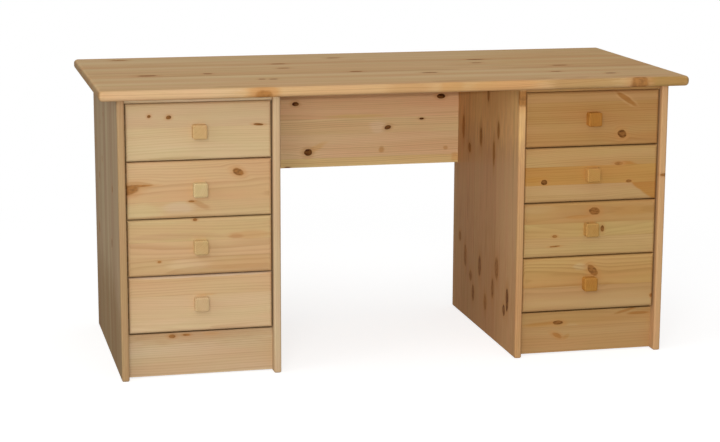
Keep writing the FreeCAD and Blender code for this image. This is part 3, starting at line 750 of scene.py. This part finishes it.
# The pedestal sides.
make_wide_board(
    "left_outer_side", LOW_SIDE_LAY, BROWN, seed=151, scattered=8,
    # The umber patch over the lower part of this side is painted shade: it darkens it as if a dark floor
    # were reflected there, and is no stain in the wood.
    patches=[Patch(0, 300, 260, 500, 0, PAINTED_SHADE_UMBER, 0.9, 0.3), Patch(360, 0, 480, 7, 0, ROSY)])
make_wide_board("left_inner_side", HIGH_SIDE_LAY, STRAW, seed=171, scattered=10)
make_wide_board(
    "right_inner_side", LOW_SIDE_LAY, ROSE, seed=191,
    knots=[Knot(543, 338, 28, 12, 0, 0.25), Knot(546, 510, 34, 13, 0, 0.2), Knot(516, 216, 36, 10, 0, 0.25),
           Knot(496, 446, 14, 14, 0, 0.35), Knot(585, 178, 26, 10, 0, 0.25), Knot(179, 474, 34, 13, 0, 0.3),
           Knot(180, 332, 32, 14, 0, 0.5), Knot(206, 174, 32, 17, 0, 0.3), Knot(143, 208, 30, 12, 0, 0.35),
           Knot(88, 392, 24, 13, 0, 0.45), Knot(142, 76, 34, 12, 0, 0.75), Knot(107, 103, 16, 12, 10, 0.7),
           Knot(131, 418, 16, 14, 0, 0.3), Knot(224, 530, 16, 12, 0, 0.2), Knot(668, 274, 20, 10, 0, 0.2),
           Knot(88, 274, 24, 14, 0, 0.2), Knot(694, 0, 22, 10, 0, 0.3)],
    # The sunny patch at the top of this side is painted light under the desktop's shade, and the large tan
    # patch low down is painted shade where the left lamp reaches through the knee space.
    patches=[Patch(330, 0, 330, 8, 0, TAN, 0.7), Patch(700, 300, 150, 420, 0, PAINTED_LIGHT_SUNNY, 1.0, 0.5),
             Patch(40, 300, 280, 420, 0, TAN, 0.9, 0.5)])
make_wide_board(
    "right_outer_side", HIGH_SIDE_LAY, ROSE, seed=211, scattered=10,
    knots=[Knot(480, 0, 4, 9, 0, 0.5, 6, 11)])

# Knobs, from the top drawer down, and the boxes behind the drawer fronts.
KNOB_TONES = {"left": (WHEAT, WHITEWOOD, WHEAT, WHITEWOOD), "right": (AMBER, WHEAT, HONEY, HONEY)}
KNOB_TINTS = {"left": (PINK, PALE, PALE, PLAIN), "right": (COPPER, MUSTARD, BRASS, COPPER)}
BOX_SEED = 230
BOX_SEED_STEP = 10
BOX_GLUE_LINE = 58
BOX_SIDE_KNOTS = 2
BOX_BACK_KNOTS = 1
for side in SIDES:
    for drawer, tone, tint in zip(DRAWERS, KNOB_TONES[side], KNOB_TINTS[side]):
        box = f"{side}_drawer_{drawer}"
        seed = BOX_SEED + BOX_SEED_STEP * drawer + SIDE_SEED[side]
        side_knots = scatter_knots(*board_size(f"{box}_sides", DEEP_LAY), BOX_SIDE_KNOTS, seed)
        back_knots = scatter_knots(*board_size(f"{box}_back", FRONT_LAY), BOX_BACK_KNOTS, seed)
        make_pine(f"{box}_knob", DEEP_LAY, tone, seed, tints=[tint], end_shade=KNOB_END_SHADE)
        make_pine(f"{box}_sides", DEEP_LAY, WHITEWOOD, seed + 1, glue_lines=(BOX_GLUE_LINE,),
                  knots=side_knots, lacquered=False)
        make_pine(f"{box}_back", FRONT_LAY, WHITEWOOD, seed + 2, knots=back_knots, lacquered=False)


def make_plywood(node, lay):
    """Rotary-cut plywood, unfinished: wide loose figure on the faces and crossed plies at the edges."""
    figure_waves = (1.3, 9.0, 9.0)
    figure_detail = 3.0
    figure_lines = 9.0
    figure_strength = 0.5
    late_from = 0.45
    late_full = 0.9
    late_until = 0.93
    fibre_waves = (16.0, 800.0, 800.0)
    fibre_strength = 0.15
    ply_thickness = 1.3 * MM
    crossed_strength = 0.55
    least_roughness = 0.56
    fibre_roughness = 0.12
    relief = 0.4
    relief_depth = 0.15 * MM
    material, net, shader = new_material(f"{node}_plywood")
    place = board_place(net, node, lay)
    lines = net.maths("FRACT", net.noise(place, figure_waves, figure_detail) * figure_lines)
    late = net.fade(lines, late_from, late_full) * net.fade(lines, 1.0, late_until)
    fibre = net.noise(place, fibre_waves)
    ply = net.maths("FLOOR", net.split(place)[2] / ply_thickness)
    crossed = net.maths("PINGPONG", ply, 1.0)
    colour = net.mix(late * figure_strength + fibre * fibre_strength, PLY_PALE, PLY_LATE)
    colour = net.mix(crossed * crossed_strength, colour, PLY_CROSSED)
    finish_wood(net, shader, colour, fibre * fibre_roughness + least_roughness, fibre, relief, relief_depth)
    dress(node, material)


def make_beech(node, lay):
    """Planed beech, unfinished: even and pinkish, with the short dark flecks of its rays."""
    tone_waves = (4.0, 60.0, 60.0)
    tone_detail = 3.0
    fleck_waves = (120.0, 900.0, 900.0)
    fleck_detail = 1.0
    fleck_from = 0.60
    fleck_full = 0.72
    fleck_strength = 0.5
    least_roughness = 0.48
    tone_roughness = 0.15
    relief = 0.3
    relief_depth = 0.1 * MM
    material, net, shader = new_material(f"{node}_beech")
    place = board_place(net, node, lay)
    tone = net.noise(place, tone_waves, tone_detail)
    flecks = net.noise(place, fleck_waves, fleck_detail)
    colour = net.mix(tone, BEECH_PALE, BEECH_WARM)
    colour = net.mix(net.fade(flecks, fleck_from, fleck_full) * fleck_strength, colour, BEECH_FLECK)
    finish_wood(net, shader, colour, tone * tone_roughness + least_roughness, flecks, relief, relief_depth)
    dress(node, material)


def make_zinc_steel():
    """Bright zinc plating with the faint mottle of its crystals."""
    mottle_waves = (700.0, 700.0, 700.0)
    mottle_detail = 3.0
    least_roughness = 0.26
    mottle_roughness = 0.2
    material, net, shader = new_material("zinc_plated_steel")
    mottle = net.noise(net.here(), mottle_waves, mottle_detail)
    net.put(shader.inputs["Base Color"], net.mix(mottle, ZINC_DULL, ZINC_BRIGHT))
    net.put(shader.inputs["Roughness"], mottle * mottle_roughness + least_roughness)
    net.put(shader.inputs["Metallic"], 1.0)
    return material


for side in SIDES:
    make_plywood(f"{side}_back_panel", BACK_LAY)
    make_plywood(f"{side}_bottom_panel", TOP_LAY)
    make_beech(f"{side}_drawer_runners", DEEP_LAY)
    for drawer in DRAWERS:
        make_plywood(f"{side}_drawer_{drawer}_bottom", TOP_LAY)
make_beech("carcass_dowels", FLAT_LAY)
zinc_steel = make_zinc_steel()
dress("desk_top_screws", zinc_steel)

# Panel pins that hold the backs in their rabbets, set round the edge of each back.
PIN_SPACING = 88 * MM
PIN_INSET = 6 * MM
PIN_HEAD_RADIUS = 1.7 * MM
PIN_HEAD_RISE = 0.45
PIN_HEAD_SEGMENTS = 12
PIN_HEAD_RINGS = 8
UPRIGHT = (math.radians(90), 0.0, 0.0)


def make_pin_tree():
    """Domed pin heads, evenly spaced round an upright rectangle."""
    net, takes, gives = new_group(
        "panel pins",
        {"Width": "number", "Height": "number", "Spacing": "number", "Head radius": "number",
         "Middle": "vector", "Metal": "material"},
        {"Geometry": "geometry"}, "GeometryNodeTree")
    edge = net.add("GeometryNodeCurvePrimitiveQuadrilateral", {
        "Width": takes["Width"], "Height": takes["Height"]})
    marks = net.add("GeometryNodeResampleCurve", {
        "Curve": net.out(edge), "Length": takes["Spacing"]}, mode="LENGTH")
    head = net.add("GeometryNodeMeshUVSphere", {
        "Segments": PIN_HEAD_SEGMENTS, "Rings": PIN_HEAD_RINGS, "Radius": takes["Head radius"]})
    pins = net.add("GeometryNodeInstanceOnPoints", {
        "Points": net.out(marks), "Instance": net.out(head), "Scale": (1.0, 1.0, PIN_HEAD_RISE)})
    upright = net.add("GeometryNodeTransform", {
        "Geometry": net.out(pins), "Translation": takes["Middle"], "Rotation": UPRIGHT})
    real = net.add("GeometryNodeRealizeInstances", {"Geometry": net.out(upright)})
    dressed = net.add("GeometryNodeSetMaterial", {"Geometry": net.out(real), "Material": takes["Metal"]})
    net.put(gives["Geometry"], net.out(dressed))
    return net.tree


def make_pins(side, tree):
    """The pins of one pedestal's back."""
    low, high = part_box(f"{side}_back_panel")
    values = {"Width": high.x - low.x - 2 * PIN_INSET, "Height": high.z - low.z - 2 * PIN_INSET,
              "Spacing": PIN_SPACING, "Head radius": PIN_HEAD_RADIUS,
              "Middle": ((low.x + high.x) / 2, high.y, (low.z + high.z) / 2), "Metal": zinc_steel}
    carrier = bpy.data.objects.new("pin_carrier", bpy.data.meshes.new("pin_carrier"))
    bpy.context.scene.collection.objects.link(carrier)
    modifier = carrier.modifiers.new("pins", "NODES")
    modifier.node_group = tree
    for item in tree.interface.items_tree:
        if item.in_out == "INPUT":
            modifier[item.identifier] = values[item.name]
    evaluated = carrier.evaluated_get(bpy.context.evaluated_depsgraph_get())
    mesh = bpy.data.meshes.new_from_object(evaluated)
    carrier.modifiers.remove(modifier)
    bpy.data.objects.remove(carrier)
    mesh.shade_smooth()
    pins = bpy.data.objects.new(f"{side}_back_pins", mesh)
    bpy.context.scene.collection.objects.link(pins)
    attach(pins, "carcass")


pin_tree = make_pin_tree()
for side in SIDES:
    make_pins(side, pin_tree)


def add_camera():
    """The camera, turned as the photograph was taken."""
    yaw, pitch, roll = (math.radians(angle) for angle in (CAMERA_YAW, CAMERA_PITCH, CAMERA_ROLL))
    ahead = Vector((math.sin(yaw) * math.cos(pitch), math.cos(yaw) * math.cos(pitch), math.sin(pitch)))
    level = Vector((math.cos(yaw), -math.sin(yaw), 0.0))
    upward = level.cross(ahead)
    right = level * math.cos(roll) + upward * math.sin(roll)
    up = upward * math.cos(roll) - level * math.sin(roll)
    turn = Matrix((right, up, -ahead)).transposed().to_4x4()
    camera = bpy.data.objects.new("camera", bpy.data.cameras.new("camera"))
    camera.data.sensor_width = CAMERA_SENSOR
    camera.data.lens = CAMERA_LENS
    camera.matrix_world = Matrix.Translation(CAMERA_PLACE) @ turn
    bpy.context.scene.collection.objects.link(camera)
    bpy.context.scene.camera = camera


def add_lamp(name, place, size, power, aim=LAMP_AIM):
    """A square lamp that points at a place, in metres and watts."""
    lamp = bpy.data.objects.new(name, bpy.data.lights.new(name, "AREA"))
    lamp.data.size = size
    lamp.data.energy = power
    lamp.location = place
    lamp.rotation_mode = "QUATERNION"
    lamp.rotation_quaternion = (Vector(aim) - Vector(place)).to_track_quat("-Z", "Y")
    bpy.context.scene.collection.objects.link(lamp)


def seen_directly(net):
    """1 where the camera looks straight, by a reflection or through glass, and 0 for scattered light."""
    rays = net.add("ShaderNodeLightPath")
    seen = net.maths("MAXIMUM", net.out(rays, "Is Camera Ray"), net.out(rays, "Is Glossy Ray"))
    return net.maths("MAXIMUM", seen, net.out(rays, "Is Transmission Ray"))


def add_surroundings():
    """White all round to the eye, with an even light of its own."""
    even_light = 0.34
    world = bpy.data.worlds.new("studio")
    net = blank_net(world)
    light = net.add("ShaderNodeBackground", {"Color": WHITE, "Strength": even_light})
    white = net.add("ShaderNodeBackground", {"Color": WHITE, "Strength": 1.0})
    both = net.mix_shaders(seen_directly(net), net.out(light), net.out(white))
    net.add("ShaderNodeOutputWorld", {"Surface": both})
    bpy.context.scene.world = world


def add_floor():
    """A pale floor that shows the desk's shadow near it and turns white further away."""
    reach = 30.0
    paleness = 0.50
    whitening = 0.74
    shadow_reach = 0.9
    white_from = 2.2
    corners = [(-reach, -reach, 0.0), (reach, -reach, 0.0), (reach, reach, 0.0), (-reach, reach, 0.0)]
    mesh = bpy.data.meshes.new("floor")
    mesh.from_pydata(corners, [], [(0, 1, 2, 3)])
    floor = bpy.data.objects.new("floor", mesh)
    bpy.context.scene.collection.objects.link(floor)
    material = bpy.data.materials.new("pale_floor")
    net = blank_net(material)
    seen = seen_directly(net)
    paint = net.add("ShaderNodeBsdfDiffuse", {"Color": (paleness, paleness, paleness, 1.0)})
    glow = net.add("ShaderNodeEmission", {"Strength": seen * whitening})
    white = net.add("ShaderNodeEmission", {"Strength": 1.0})
    near = net.add_shaders(net.out(paint), net.out(glow))
    away = net.vectors("LENGTH", net.here())
    both = net.mix_shaders(seen * net.fade(away, shadow_reach, white_from), near, net.out(white))
    net.add("ShaderNodeOutputMaterial", {"Surface": both})
    mesh.materials.append(material)


add_camera()
add_lamp("low_lamp", place=(-2.1, -8.8, 1.3), size=2.7, power=180)
add_lamp("camera_lamp", place=CAMERA_PLACE + Vector((0.0, 0.0, CAMERA_LAMP_HEIGHT)), size=0.05, power=59)
add_lamp("high_lamp", place=(-1.9, -4.5, 2.6), size=1.1, power=32)
add_lamp("ceiling_lamp", place=(0.0, -0.6, 3.6), size=3.0, power=23)
add_lamp("left_lamp", place=(-4.4, -2.0, 2.2), size=2.2, power=36, aim=LEFT_LAMP_AIM)
add_surroundings()
add_floor()
bpy.context.scene.view_settings.view_transform = "Standard"
